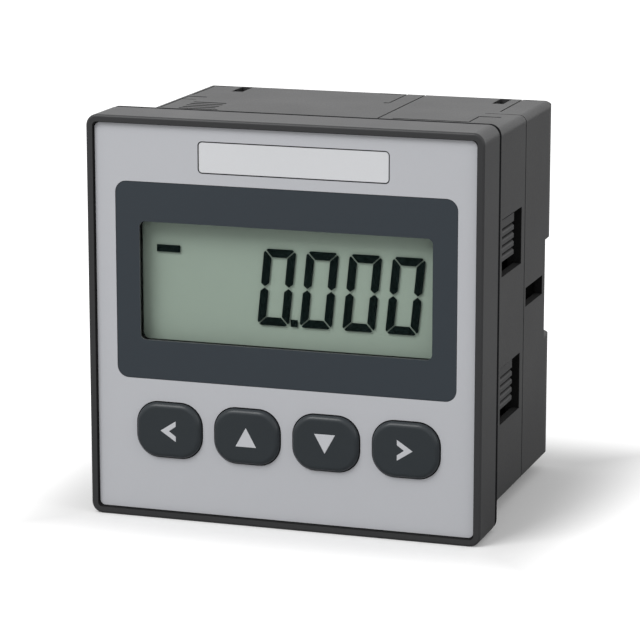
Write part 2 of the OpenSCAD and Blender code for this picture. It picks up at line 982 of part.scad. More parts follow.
module cover_shell() {
    difference() {
        union() {
            slab(seam_y + seam_w, waist_y)
                rounded(body_w, body_w, body_r);
            slab(seam_y, seam_y + 2 * seam_w)
                rounded(body_w - 2 * seam_d, body_w - 2 * seam_d, body_r - seam_d);
            seam_fill();
            slab(waist_y - wall_t, body_d)
                raised_areas(0);
            slab(seam_y - lip_d, seam_y + wall_t)
                rounded(2 * (body_in - lip_gap), 2 * (body_in - lip_gap), 0.8);
        }
        slab(seam_y - lip_d - cut, waist_y - wall_t)
            rounded(2 * (body_in - lip_gap - lip_wall), 2 * (body_in - lip_gap - lip_wall), 0.6);
        slab(seam_y + wall_t + lip_wall, waist_y - wall_t)
            rounded(2 * body_in, 2 * body_in, 0.8);
        slab(waist_y - 2 * wall_t, rear_in)
            raised_areas(wall_t);
        posts(post_r + fit_gap, seam_y - lip_d - cut, seam_y);
        rear_bevels();
    }
}

module rear_cover() {
    color("#434446")
        difference() {
            union() {
                cover_shell();
                posts(cover_post_r, seam_y, body_d - wall_t / 2);
                board_guides(board_z - board_slack, upper_top + board_slack);
                board_guides(-upper_top - board_slack, -board_z + board_slack);
            }
            posts(screw_hole_r, seam_y - cut, body_d + cut);
            posts(screw_sink_r, body_d - screw_sink, body_d + cut);
            for (s = [-1, 1])
                translate([0, 0, s * (upper_top + strip_h / 2)])
                    slab(rear_in - cut, body_d + cut)
                        square([strip_w + 2 * strip_gap, strip_h + 2 * strip_gap], center = true);
            translate([-body_w, slot_y, slot_low])
                cube([2 * body_w, slot_end - slot_y, slot_high - slot_low]);
            foot_slots();
            top_grooves();
        }
}

// Slots through the top wall and the bottom wall, near the rear edge
module foot_slots() {
    for (s = [0, 1], x = [foot_left, foot_right])
        mirror([0, 0, s])
            translate([x - foot_w / 2, body_d - foot_rear - foot_l, body_in - cut])
                cube([foot_w, foot_l, wall_t + 2 * cut]);
}

module cover_screws() {
    head_y = body_d - screw_sink;
    color("#b8b8ba")
        for (c = CORNERS)
            translate([c[0] * post_at, 0, c[1] * post_at]) {
                rod(screw_r, seam_y - screw_grip, head_y + screw_head_t / 2);
                soft_disc(screw_head_r, head_y, head_y + screw_head_t, 0.6);
            }
}

// Boards in the housing -----------------------------------------------------------------------

module long_board(z0) {
    color("#2f5a3a")
        translate([-board_w / 2, edge_y, z0])
            cube([board_w, edge_back - edge_y, board_t]);
}

module power_board() {
    long_board(board_z);
}

module main_board() {
    long_board(-upper_top);
}

module link_sockets() {
    socket_d = edge_y - board_back + socket_lap;
    pin_side = (socket_w - (socket_pins - 1) * socket_pitch - socket_pin) / 2;
    color("#1f1f21")
        for (z = [upper_top, -board_z])
            translate([-socket_w / 2, board_back, z])
                difference() {
                    cube([socket_w, socket_d, socket_h]);
                    for (i = [0 : socket_pins - 1])
                        translate([pin_side + i * socket_pitch, socket_d - 1, (socket_h - socket_pin) / 2])
                            cube([socket_pin, 1 + cut, socket_pin]);
                }
}

// Core of the transformer: a frame with a middle leg
module transformer_core() {
    opening = (core_w - core_leg - 2 * core_rim) / 2;
    color("#6d7074")
        translate([core_x, core_y, -board_z])
            difference() {
                translate([-core_w / 2, -core_d / 2, 0])
                    cube([core_w, core_d, core_h]);
                for (s = [-1, 1])
                    translate([s * (core_leg + opening) / 2, 0, core_h / 2])
                        cube([opening, core_d + 2 * cut, core_h - 2 * core_rim], center = true);
            }
}

module transformer_coil() {
    h = core_h - 2 * core_rim - 2 * coil_gap;
    color("#a8702c")
        translate([core_x, core_y, core_h / 2 - board_z])
            difference() {
                translate([0, 0, -h / 2])
                    linear_extrude(h)
                        rounded(core_leg + 2 * coil_t, core_d + 2 * coil_t, 2.5);
                cube([core_leg + 2 * coil_gap, core_d + 2 * coil_gap, h + 2 * cut], center = true);
            }
}

// Cans of the capacitors, each with a rolled groove near its foot
module capacitors() {
    roll_r = 0.8;
    color("#2b3550")
        for (c = CAPS)
            translate([cap_x, c[2], -board_z])
                rotate_extrude()
                    difference() {
                        square([c[0], c[1]]);
                        translate([c[0] + roll_r / 4, 3 * roll_r])
                            circle(roll_r);
                        translate([c[0], c[1]])
                            rotate(45)
                                square(1, center = true);
                    }
}

module relays() {
    color("#e3e4e0")
        for (i = [0, 1])
            translate([relay_right - relay_w / 2 - i * (relay_w + relay_space), relay_y, -board_z])
                linear_extrude(relay_h)
                    rounded(relay_w, relay_d, 0.8);
}

module fuse_tube() {
    color("#dfe6e6", 0.6)
        translate([0, fuse_y, upper_top + fuse_up])
            rotate([0, 90, 0])
                cylinder(r = fuse_r, h = fuse_l, center = true);
}

// Spring clips that hold the fuse by its ends
module fuse_clips() {
    color("#c3c5c8")
        for (s = [-1, 1])
            translate([s * (fuse_l / 2 - fuse_cap_l / 2) - fuse_cap_l / 2, fuse_y, upper_top])
                rotate([90, 0, 90])
                    linear_extrude(fuse_cap_l)
                        difference() {
                            union() {
                                translate([0, fuse_up])
                                    circle(fuse_r + fuse_gap + fuse_wall);
                                translate([-fuse_r / 2, 0])
                                    square([fuse_r, fuse_up]);
                            }
                            translate([0, fuse_up])
                                circle(fuse_r + fuse_gap);
                            translate([-fuse_r * 0.7, fuse_up])
                                square([fuse_r * 1.4, 2 * fuse_r]);
                        }
}

module converter_chip() {
    color("#242527")
        translate([chip_x, chip_y, upper_top])
            difference() {
                linear_extrude(chip_h)
                    rounded(chip_w, chip_d, 0.4);
                translate([1.4 - chip_w / 2, 1.4 - chip_d / 2, chip_h - mark_d])
                    cylinder(r = mark_r, h = 1 + cut);
            }
}

// Terminals -------------------------------------------------------------------------------------

// The insulating block of a strip, standing on the upper board
module terminal_block() {
    difference() {
        translate([-strip_w / 2, strip_front, upper_top])
            cube([strip_w, strip_d, strip_h]);
        for (i = [0 : poles - 1])
            translate([pole_at(i), 0, upper_top]) {
                translate([-entry_w / 2, strip_rear - entry_d, entry_up - entry_h / 2])
                    cube([entry_w, entry_d + cut, entry_h]);
                translate([0, 0, driver_up])
                    rod(driver_r, strip_rear - driver_d, strip_rear + cut);
            }
        for (i = [1 : poles - 1])
            translate([pole_at(i - 0.5) - pole_groove / 2, strip_rear - pole_groove, upper_top - cut])
                cube([pole_groove, pole_groove + cut, strip_h + 2 * cut]);
    }
}

module terminal_upper() {
    color("#3a3d3f")
        terminal_block();
}

module terminal_lower() {
    color("#3a3d3f")
        mirror([0, 0, 1])
            terminal_block();
}

module terminal_screw() {
    head_y = strip_rear - driver_d;
    slot_w = 0.7;
    difference() {
        rod(driver_r - 0.15, head_y, head_y + terminal_head_t);
        translate([-driver_r, head_y + terminal_head_t - 0.9, -slot_w / 2])
            cube([2 * driver_r, 0.9 + cut, slot_w]);
    }
}

module terminal_screws() {
    color("#c9cacc")
        for (s = [0, 1], i = [0 : poles - 1])
            mirror([0, 0, s])
                translate([pole_at(i), 0, upper_top + driver_up])
                    terminal_screw();
}

module terminal_clamp() {
    w = entry_w - 2 * clamp_gap;
    h = entry_h - 2 * clamp_gap;
    slab(strip_rear - entry_d, strip_rear - entry_d + clamp_d)
        difference() {
            square([w, h], center = true);
            square([w - 2 * clamp_side, h - 2 * clamp_side], center = true);
        }
}

module terminal_clamps() {
    color("#c2b280")
        for (s = [0, 1], i = [0 : poles - 1])
            mirror([0, 0, s])
                translate([pole_at(i), 0, upper_top + entry_up])
                    terminal_clamp();
}

bezel();
front_plate();
display_mask();
label_strip();
display_window();
key_left();
key_up();
key_down();
key_right();
plunger_left();
plunger_up();
plunger_down();
plunger_right();
switch_bodies();
lcd_front_glass();
lcd_digits();
lcd_back_panel();
lcd_holder();
lcd_pins();
display_board();
board_screws();
controller_chip();
crystal_can();
chip_resistors();
panel_seal();
front_housing();
rear_cover();
cover_screws();
power_board();
main_board();
link_sockets();
transformer_core();
transformer_coil();
capacitors();
relays();
fuse_tube();
fuse_clips();
converter_chip();
terminal_upper();
terminal_lower();
terminal_screws();
terminal_clamps();
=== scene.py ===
"""Finishes, key marks and stage for a square digital panel meter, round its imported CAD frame."""

import json
import math

import bmesh
import bpy
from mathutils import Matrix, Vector


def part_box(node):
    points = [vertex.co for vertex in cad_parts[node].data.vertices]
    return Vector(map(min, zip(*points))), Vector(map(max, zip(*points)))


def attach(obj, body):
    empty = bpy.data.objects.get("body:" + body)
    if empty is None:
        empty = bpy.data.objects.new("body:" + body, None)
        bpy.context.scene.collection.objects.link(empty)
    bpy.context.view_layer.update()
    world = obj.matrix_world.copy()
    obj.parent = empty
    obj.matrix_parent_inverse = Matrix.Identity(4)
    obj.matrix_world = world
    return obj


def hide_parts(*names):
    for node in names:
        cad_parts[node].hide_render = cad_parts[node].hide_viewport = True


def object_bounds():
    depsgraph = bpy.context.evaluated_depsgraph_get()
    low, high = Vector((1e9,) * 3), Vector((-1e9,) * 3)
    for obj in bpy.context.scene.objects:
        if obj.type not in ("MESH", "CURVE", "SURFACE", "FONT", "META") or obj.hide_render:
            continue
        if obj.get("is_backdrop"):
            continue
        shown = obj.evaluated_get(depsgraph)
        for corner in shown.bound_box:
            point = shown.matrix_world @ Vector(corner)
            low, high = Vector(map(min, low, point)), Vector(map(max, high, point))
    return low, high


bl_info = {
    "name": "Panel meter finishes",
    "version": (1, 0, 0),
    "blender": (4, 5, 0),
    "location": "3D View > Sidebar > Panel meter",
    "description": "Finishes, key marks, screws and stage for a digital panel meter",
    "category": "Object",
}

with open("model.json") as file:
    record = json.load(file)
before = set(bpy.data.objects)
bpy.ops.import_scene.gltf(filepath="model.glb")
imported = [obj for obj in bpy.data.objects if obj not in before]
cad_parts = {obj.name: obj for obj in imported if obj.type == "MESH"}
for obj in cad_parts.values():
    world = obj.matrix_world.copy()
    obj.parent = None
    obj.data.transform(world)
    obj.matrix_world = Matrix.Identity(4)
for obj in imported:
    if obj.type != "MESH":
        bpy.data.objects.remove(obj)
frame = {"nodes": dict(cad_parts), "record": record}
cad_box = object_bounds()

MM = 0.001
METER = "meter"
KEYS = ("left", "up", "down", "right")


def slot_colour(slot):
    """The colour that the record gives to a material slot."""
    colours = {m["slot"]: m["base_color"] for m in frame["record"]["materials"]}
    return tuple(colours[slot][:3])


def slot_nodes(slot):
    """The CAD nodes that take their finish from a material slot."""
    return [s["node"] for s in frame["record"]["subparts"] if s["material_slot"] == slot]


# Shader building ----------------------------------------------------------------------------


class Wire:
    """A socket of a finish. Sums with numbers and other wires add Math nodes."""

    def __init__(self, finish, socket):
        self.finish = finish
        self.socket = socket

    def _maths(self, operation, *values):
        return self.finish.node("Math", {"operation": operation}, values)

    def __add__(self, other):
        return self._maths("ADD", self, other)

    def __radd__(self, other):
        return self._maths("ADD", other, self)

    def __sub__(self, other):
        return self._maths("SUBTRACT", self, other)

    def __rsub__(self, other):
        return self._maths("SUBTRACT", other, self)

    def __mul__(self, other):
        return self._maths("MULTIPLY", self, other)

    def __rmul__(self, other):
        return self._maths("MULTIPLY", other, self)

    def __truediv__(self, other):
        return self._maths("DIVIDE", self, other)

    def __gt__(self, other):
        return self._maths("GREATER_THAN", self, other)

    def __lt__(self, other):
        return self._maths("LESS_THAN", self, other)

    def either(self, other):
        """The larger of two wires, or 1 where either is 1."""
        return self._maths("MAXIMUM", self, other)

    def beyond(self, place):
        """How far the wire is above a place, and 0 below it."""
        return (self - place).either(0)

    def power(self, exponent):
        return self._maths("POWER", self, exponent)

    def sine(self):
        return self._maths("SINE", self)

    def distance_to(self, place):
        return self._maths("ABSOLUTE", self - place)

    def wrapped(self, pitch):
        """The wire's place inside its own step of a row of equal steps."""
        return self._maths("PINGPONG", self, pitch / 2)

    def smooth(self, low, high):
        """0 below low and 1 above high, with a smooth rise between them."""
        return self.finish.node(
            "MapRange",
            {"interpolation_type": "SMOOTHSTEP"},
            {"Value": self, "From Min": low, "From Max": high},
        )


class Finish:
    """One material and the nodes that paint it."""

    def __init__(self, name):
        self.material = bpy.data.materials.new(name)
        self.material.use_nodes = True
        self.tree = self.material.node_tree
        self.tree.nodes.clear()

    def node(self, kind, settings=None, inputs=(), output=0):
        """Adds a shader node, sets its settings, feeds its inputs and returns one of its outputs."""
        made = self.tree.nodes.new("ShaderNode" + kind)
        for name, value in (settings or {}).items():
            if name == "stops":
                self._set_stops(made.color_ramp, value)
            else:
                setattr(made, name, value)
        named = inputs.items() if isinstance(inputs, dict) else enumerate(inputs)
        for key, value in named:
            self.feed(made.inputs[key], value)
        return Wire(self, made.outputs[output])

    def _set_stops(self, ramp, stops):
        while len(ramp.elements) < len(stops):
            ramp.elements.new(1.0)
        for element, (place, colour) in zip(ramp.elements, stops):
            element.position = place
            element.color = (*colour, 1.0)

    def feed(self, socket, value):
        """Links a wire to a socket, or sets the socket to a plain value."""
        if isinstance(value, Wire):
            self.tree.links.new(value.socket, socket)
        elif isinstance(value, (tuple, list)) and socket.type == "RGBA":
            socket.default_value = (*value[:3], 1.0)
        else:
            socket.default_value = value

    def place(self):
        """The point of the surface in the meter's own frame, as x, y and z wires and as one vector."""
        vector = self.node("TexCoord", output="Object")
        parts = self.tree.nodes.new("ShaderNodeSeparateXYZ")
        self.tree.links.new(vector.socket, parts.inputs[0])
        return (*(Wire(self, socket) for socket in parts.outputs), vector)

    def skin_depth(self, half, radius):
        """How deep the surface lies inside a square bar along Y, half wide, with rounded edges."""
        x, _, z, _ = self.place()
        across = x.distance_to(0).beyond(half - radius)
        upwards = z.distance_to(0).beyond(half - radius)
        return radius - (across * across + upwards * upwards).power(0.5)

    def noise(self, size_mm, detail=3.0):
        """Noise whose patches are about size_mm across, in the meter's frame."""
        return self.node(
            "TexNoise",
            {},
            {
                "Vector": self.place()[3],
                "Scale": 1 / (size_mm * MM),
                "Detail": detail,
                "Roughness": 0.55,
            },
        )

    def cells(self, size_mm, output="Distance"):
        """Distances or colours in a field of cells about size_mm across."""
        return self.node(
            "TexVoronoi", {}, {"Vector": self.place()[3], "Scale": 1 / (size_mm * MM)}, output
        )

    def mix(self, share, first, second):
        """A colour between first and second."""
        return self.node("Mix", {"data_type": "RGBA"}, {0: share, 6: first, 7: second}, 2)

    def tint(self, colour, share, spread):
        """The colour, a little darker where share is 0 and a little lighter where it is 1."""
        darker = tuple(c * (1 - spread) for c in colour)
        lighter = tuple(min(1.0, c * (1 + spread)) for c in colour)
        return self.mix(share, darker, lighter)

    def bump(self, height, depth_mm):
        """A surface normal pushed by height, whose full range is depth_mm."""
        return self.node("Bump", {}, {"Height": height, "Distance": depth_mm * MM, "Strength": 1.0})

    def surface(self, **sockets):
        """Ends the finish with one Principled surface, its sockets named with underscores."""
        inputs = {name.replace("_", " "): value for name, value in sockets.items()}
        self.output(self.node("BsdfPrincipled", {}, inputs))
        return self.material

    def output(self, shader):
        end = self.tree.nodes.new("ShaderNodeOutputMaterial")
        self.tree.links.new(shader.socket, end.inputs["Surface"])


def moulded_plastic(name, colour, roughness, grain_mm, grain_depth, unshaded=None):
    """Moulded plastic with a spark-eroded grain and faint flow marks.

    The last argument makes a wire that is 1 on the outer skin and 0 on the walls of its holes and
    grooves, where no light gets in; there the colour is a painted shade, a near-black copy of it.
    """
    finish = Finish(name)
    flow = finish.noise(22, detail=2.0)
    grain = finish.noise(grain_mm, detail=2.0)
    fleck = finish.cells(grain_mm * 2.4)
    paint = finish.tint(colour, flow * 0.6 + grain * 0.4, 0.06)
    sheen = roughness + (grain - 0.5) * 0.14 + (flow - 0.5) * 0.1
    if unshaded:
        lit = unshaded(finish)
        # painted shade: where the mask is 0 the colour turns near black and the roughness goes to 1
        paint = finish.mix(lit, tuple(c * 0.05 for c in colour), paint)
        sheen = 1 - lit * (1 - sheen)
    return finish.surface(
        Base_Color=paint,
        Roughness=sheen,
        Normal=finish.bump(grain + fleck * 0.5, grain_depth),
        IOR=1.4,
    )


def smooth_plastic(name, colour, roughness, index=1.5):
    """Smooth plastic with the faint unevenness of a polished mould."""
    finish = Finish(name)
    cloud = finish.noise(9, detail=3.0)
    fine = finish.noise(0.5, detail=2.0)
    return finish.surface(
        Base_Color=finish.tint(colour, cloud, 0.03),
        Roughness=roughness + (cloud - 0.5) * 0.12,
        Normal=finish.bump(fine, 0.003),
        IOR=index,
    )


def printed_film(name, colour, roughness, front, lip=None):
    """A printed film with the fine regular matt of a screen print, whose face lies at front.

    Just below its face a lip colour shows on its cut edges; deeper down it gets painted shade, as dark as
    the gaps round it.
    """
    cut_edge = front + 0.02 * MM
    painted_shade_from = front + 0.18 * MM
    finish = Finish(name)
    cloud = finish.noise(30, detail=2.0)
    speck = finish.noise(0.28, detail=1.0)
    share = cloud * 0.5 + speck * 0.5
    _, y, _, _ = finish.place()
    paint = finish.tint(colour, share, 0.035)
    if lip:
        paint = finish.mix(y > cut_edge, paint, lip)
    return finish.surface(
        # painted shade: walls deeper than 0.18 mm below the face get a near-black copy of the colour
        Base_Color=finish.mix(y > painted_shade_from, paint, tuple(c * 0.05 for c in colour)),
        Roughness=roughness + (speck - 0.5) * 0.16,
        Normal=finish.bump(speck, 0.006),
        IOR=1.46,
    )


def clear_sheet(name, tint, gloss):
    """A clear sheet that lets straight light through and reflects more at a slant."""
    finish = Finish(name)
    smear = finish.noise(14, detail=2.0)
    inner = finish.node("NewGeometry", output="Backfacing")
    slant = finish.node("Fresnel", {}, {"IOR": 1.38}) * (1 - inner)
    clear = finish.node("BsdfTransparent", {}, {"Color": tint})
    shine = finish.node("BsdfPrincipled", {}, {"Base Color": (0.02, 0.02, 0.02), "Roughness": gloss})
    share = slant * (0.32 + smear * 0.2)
    finish.output(finish.node("MixShader", {}, {0: share, 1: clear, 2: shine}))
    return finish.material


def display_ground(name, colour):
    """The grey-green reflector of a liquid crystal display, with its sparkle and its faint clouding."""
    finish = Finish(name)
    sparkle = finish.noise(0.16, detail=1.0)
    cloud = finish.noise(26, detail=1.0)
    share = sparkle * 0.55 + cloud * 0.45
    return finish.surface(
        Base_Color=finish.tint(colour, share, 0.05),
        Roughness=0.62 + (sparkle - 0.5) * 0.2,
        Normal=finish.bump(sparkle, 0.004),
        IOR=1.15,
    )


def metal(name, colour, roughness):
    """Plated metal with a fine unevenness and faint stains."""
    finish = Finish(name)
    lines = finish.noise(0.35)
    stain = finish.noise(4)
    return finish.surface(
        Base_Color=finish.tint(colour, lines * 0.5 + stain * 0.5, 0.12),
        Metallic=1.0,
        Roughness=roughness + (lines - 0.5) * 0.2 + (stain - 0.5) * 0.15,
        Normal=finish.bump(lines, 0.004),
    )


def sheet_stack(name, colour):
    """Stacked transformer sheets: fine dark joints between bright sawn edges."""
    finish = Finish(name)
    _, y, _, _ = finish.place()
    joint = y.wrapped(0.5 * MM).smooth(0.02 * MM, 0.07 * MM)
    stain = finish.noise(3, detail=3.0)
    return finish.surface(
        Base_Color=finish.mix(joint, (0.015, 0.015, 0.016), finish.tint(colour, stain, 0.2)),
        Metallic=0.7 * joint,
        Roughness=0.42 + stain * 0.2,
        Normal=finish.bump(joint, 0.05),
    )


def winding(name, colour):
    """A coil of enamelled wire under its outer layer of clear tape."""
    finish = Finish(name)
    _, _, z, _ = finish.place()
    turn = z.wrapped(0.32 * MM) / (0.16 * MM)
    stain = finish.noise(2.5, detail=3.0)
    shade = turn.power(0.6)
    return finish.surface(
        Base_Color=finish.mix(shade, tuple(c * 0.25 for c in colour), finish.tint(colour, stain, 0.15)),
        Metallic=0.35,
        Roughness=0.34 + stain * 0.2,
        Normal=finish.bump(shade, 0.08),
    )


def circuit_board(name, colour):
    """Lacquered circuit board with tracks, soldered pads and the weave of its glass cloth."""
    finish = Finish(name)
    x, y, z, _ = finish.place()
    along = (y + z).wrapped(1.6 * MM).distance_to(0.4 * MM)
    across = x.wrapped(1.9 * MM).distance_to(0.45 * MM)
    patch = finish.cells(6.5, output="Color")
    turn = finish.node("SeparateColor", {}, [patch])
    track = (along < 0.16 * MM) * (turn > 0.5) + (across < 0.16 * MM) * (turn < 0.5)
    pad = finish.cells(3.1) < 0.15
    weave = (x / (0.2 * MM)).sine() * ((y + z) / (0.2 * MM)).sine()
    copper = finish.mix(track, tuple(c * 0.8 for c in colour), tuple(c * 1.9 + 0.01 for c in colour))
    return finish.surface(
        Base_Color=finish.mix(pad, copper, (0.52, 0.52, 0.5)),
        Metallic=0.8 * pad,
        Roughness=0.3 + weave * 0.04,
        Normal=finish.bump(weave * 0.1 + track * 0.5 + pad, 0.03),
    )


def sleeved_can(name, colour, axis_top):
    """A capacitor's shrunk sleeve with a pale stripe down one side, and a bare top."""
    finish = Finish(name)
    _, y, z, _ = finish.place()
    cloud = finish.noise(5, detail=2.0)
    stripe = y.wrapped(11 * MM) < 0.9 * MM
    bare = z > axis_top
    sleeve = finish.mix(stripe, finish.tint(colour, cloud, 0.1), (0.42, 0.44, 0.48))
    return finish.surface(
        Base_Color=finish.mix(bare, sleeve, (0.66, 0.67, 0.68)),
        Metallic=bare * 0.9,
        Roughness=0.34 + cloud * 0.12,
        Normal=finish.bump(cloud, 0.05),
    )


def soft_rubber(name, colour):
    """Dull black foam rubber with an open skin."""
    finish = Finish(name)
    pores = finish.cells(0.55)
    skin = finish.noise(0.2, detail=2.0)
    return finish.surface(
        Base_Color=finish.tint(colour, pores, 0.4),
        Roughness=0.85 + (skin - 0.5) * 0.2,
        Normal=finish.bump(pores + skin * 0.5, 0.05),
        IOR=1.08,
    )


# Mesh building --------------------------------------------------------------------------------


def new_piece(name, mesh_builder, finish, body):
    """Makes a piece from a bmesh, gives it its finish and slot, and lets it ride on a body."""
    shape = bmesh.new()
    mesh_builder(shape)
    bmesh.ops.recalc_face_normals(shape, faces=shape.faces)
    data = bpy.data.meshes.new(name)
    shape.to_mesh(data)
    shape.free()
    piece = bpy.data.objects.new(name, data)
    bpy.context.scene.collection.objects.link(piece)
    data.materials.append(finish)
    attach(piece, body)
    return piece


def prism(shape, outline, front, back):
    """Adds a solid with an outline of (x, z) points between two places along Y."""
    ends = [[shape.verts.new((x, y, z)) for x, z in outline] for y in (front, back)]
    for end in ends:
        shape.faces.new(end)
    for i, corner in enumerate(ends[0]):
        j = (i + 1) % len(outline)
        shape.faces.new((corner, ends[0][j], ends[1][j], ends[1][i]))


def oblong(low, high):
    """The (x, z) outline of a box seen from the front."""
    return [(low.x, low.z), (high.x, low.z), (high.x, high.z), (low.x, high.z)]


def turned(shape, profile, centre, steps):
    """Adds a solid turned round a line along Y from (radius, y) points, closed at both ends."""
    rings = []
    for radius, y in profile:
        ring = []
        for i in range(steps):
            angle = 2 * math.pi * i / steps
            place = (centre[0] + radius * math.cos(angle), y, centre[1] + radius * math.sin(angle))
            ring.append(shape.verts.new(place))
        rings.append(ring)
    for first, second in zip(rings, rings[1:]):
        for i in range(steps):
            j = (i + 1) % steps
            shape.faces.new((first[i], first[j], second[j], second[i]))
    shape.faces.new(rings[0])
    shape.faces.new(rings[-1])


def soften(piece, width_mm):
    """Rounds the edges of a piece with a bevel modifier and keeps its flats flat."""
    bevel = piece.modifiers.new("Edges", "BEVEL")
    bevel.width = width_mm * MM
    bevel.segments = 2
    bevel.limit_method = "ANGLE"
    bevel.harden_normals = True
    for face in piece.data.polygons:
        face.use_smooth = True


def dress(slot, finish):
    """Gives every CAD node of a slot its finish."""
    for node in slot_nodes(slot):
        data = frame["nodes"][node].data
        data.materials.clear()
        data.materials.append(finish)


# Sizes and colours that a user can change --------------------------------------------------------


def colour_property(name, description, default):
    return bpy.props.FloatVectorProperty(
        name=name, description=description, default=default, subtype="COLOR", size=3, min=0, max=1
    )


def length_property(name, description, default_mm):
    return bpy.props.FloatProperty(
        name=name, description=description, default=default_mm * MM, unit="LENGTH", min=0
    )


class CaseLook(bpy.types.PropertyGroup):
    """Colours and grain of the bezel, the housing and the rear cover."""

    bezel: colour_property("Bezel", "Colour of the bezel", slot_colour("bezel"))
    housing: colour_property("Housing", "Colour of the housing and rear cover", slot_colour("housing"))
    grain: length_property("Grain", "Size of the moulded grain", 0.32)
    grain_depth: length_property("Grain depth", "Depth of the moulded grain", 0.02)


class FrontLook(bpy.types.PropertyGroup):
    """Colours of the front plate, the display mask and the label field."""

    plate: colour_property("Plate", "Colour of the front plate", slot_colour("plate"))
    mask: colour_property("Mask", "Colour of the mask round the display", slot_colour("mask"))
    lip: colour_property("Lip", "Colour of the mask's cut edge", (0.3, 0.31, 0.32))
    label: colour_property("Label", "Colour of the label field", slot_colour("label"))


class DisplayLook(bpy.types.PropertyGroup):
    """Colours and depth of the liquid crystal display."""

    ground: colour_property("Ground", "Colour of the display's ground", slot_colour("reflector"))
    ink: colour_property("Ink", "Colour of a dark segment", slot_colour("digits"))
    depth: length_property("Depth", "Distance from the segments to the reflector", 0.35)
    seat: length_property("Seat", "Depth of the cell's glass in the reflector", 0.05)


class KeyLook(bpy.types.PropertyGroup):
    """Colours of the keys and sizes of the marks on them."""

    cap: colour_property("Cap", "Colour of a key", slot_colour("key"))
    mark: colour_property("Mark", "Colour of the marks on the keys", (0.62, 0.63, 0.66))
    arrow_w: length_property("Arrow width", "Width of an open arrow", 3.8)
    arrow_h: length_property("Arrow height", "Height of an open arrow", 5.0)
    arrow_line: length_property("Arrow line", "Thickness of an open arrow's line", 1.15)
    triangle_w: length_property("Triangle width", "Width of a filled triangle", 5.1)
    triangle_h: length_property("Triangle height", "Height of a filled triangle", 4.6)
    relief: length_property("Relief", "Height of a mark above its key", 0.06)


class ScrewLook(bpy.types.PropertyGroup):
    """Sizes of the cross recesses in the cover screws."""

    recess: length_property("Recess", "Width across a cross recess", 3.2)
    recess_depth: length_property("Recess depth", "Depth of a cross recess", 1.3)
    recess_line: length_property("Recess line", "Width of one arm of a cross recess", 0.75)


class StageLook(bpy.types.PropertyGroup):
    """Place of the camera, and strength of the lights."""

    azimuth: bpy.props.FloatProperty(
        name="Azimuth", description="Camera's turn round the meter", default=math.radians(18.2),
        subtype="ANGLE",
    )
    elevation: bpy.props.FloatProperty(
        name="Elevation", description="Camera's height over the horizon", default=math.radians(12.4),
        subtype="ANGLE",
    )
    distance: length_property("Distance", "Camera's distance from the bezel", 712)
    focal: bpy.props.FloatProperty(
        name="Lens", description="Focal length of the camera in mm", default=171.0, min=20, max=400
    )
    ambient: bpy.props.FloatProperty(
        name="Ambient", description="Strength of the soft light from all round", default=0.56, min=0, max=2
    )
    key_power: bpy.props.FloatProperty(
        name="Key light", description="Power of the main lamp", default=7.0, unit="POWER", min=0
    )
    fill_power: bpy.props.FloatProperty(
        name="Fill light", description="Power of the lamp on the other side", default=1.2, unit="POWER",
        min=0,
    )


# Operators ------------------------------------------------------------------------------------------


class METER_OT_case(bpy.types.Operator):
    """Finishes the bezel, the seal, the housing and the rear cover"""

    bl_idname = "meter.case"
    bl_label = "Finish the case"

    def execute(self, context):
        look = context.scene.meter_case
        grain = look.grain / MM
        depth = look.grain_depth / MM
        # painted shade on the bezel's inward walls and between its latch ribs
        dress("bezel", moulded_plastic("bezel plastic", look.bezel, 0.42, grain, depth * 0.6, self.bezel_unshaded))
        # painted shade in the housing's slots, windows and grooves
        skin = moulded_plastic("housing plastic", look.housing, 0.46, grain * 1.3, depth, self.skin)
        dress("housing", skin)
        dress("seal", soft_rubber("seal rubber", slot_colour("seal")))
        return {"FINISHED"}

    def bezel_unshaded(self, finish):
        """1 on the bezel's outer face and the crests of its latches; walls that face inwards and the
        grooves between the latch ribs are 0 and get painted shade.
        """
        corner = 2.7 * MM
        plate_seam = 0.26 * MM
        latch_sink = 0.6 * MM
        groove_d = 0.6 * MM
        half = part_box("bezel")[1].x
        rim_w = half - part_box("front_plate")[1].x - plate_seam
        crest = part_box("front_housing")[1].x - latch_sink
        x, y, _, _ = finish.place()
        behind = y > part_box("panel_seal")[0].y - 0.2 * MM
        ribs = x.distance_to(0).smooth(crest - groove_d, crest + 0.08 * MM)
        return (finish.skin_depth(half, corner) < rim_w).either(behind * ribs)

    def skin(self, finish):
        """1 on the housing's outer faces and its rear; its slots, windows and grooves are 0 and get
        painted shade.
        """
        corner = 1.8 * MM
        skin_t = 0.12 * MM
        rear_d = 6 * MM
        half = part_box("front_housing")[1].x
        _, y, _, _ = finish.place()
        return (finish.skin_depth(half, corner) < skin_t).either(y > cad_box[1].y - rear_d)


class METER_OT_front(bpy.types.Operator):
    """Finishes the front plate, the display mask, the label field and the clear window"""

    bl_idname = "meter.front"
    bl_label = "Finish the front"

    def execute(self, context):
        look = context.scene.meter_front
        for slot, colour, roughness, lip in (
            ("plate", look.plate, 0.55, None),
            ("mask", look.mask, 0.5, tuple(look.lip)),
            ("label", look.label, 0.5, None),
        ):
            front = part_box(slot_nodes(slot)[0])[0].y
            dress(slot, printed_film(slot + " film", colour, roughness, front, lip))
        soften(frame["nodes"]["display_mask"], 0.12)
        dress("window", clear_sheet("clear window", (0.97, 0.985, 0.975), 0.06))
        return {"FINISHED"}


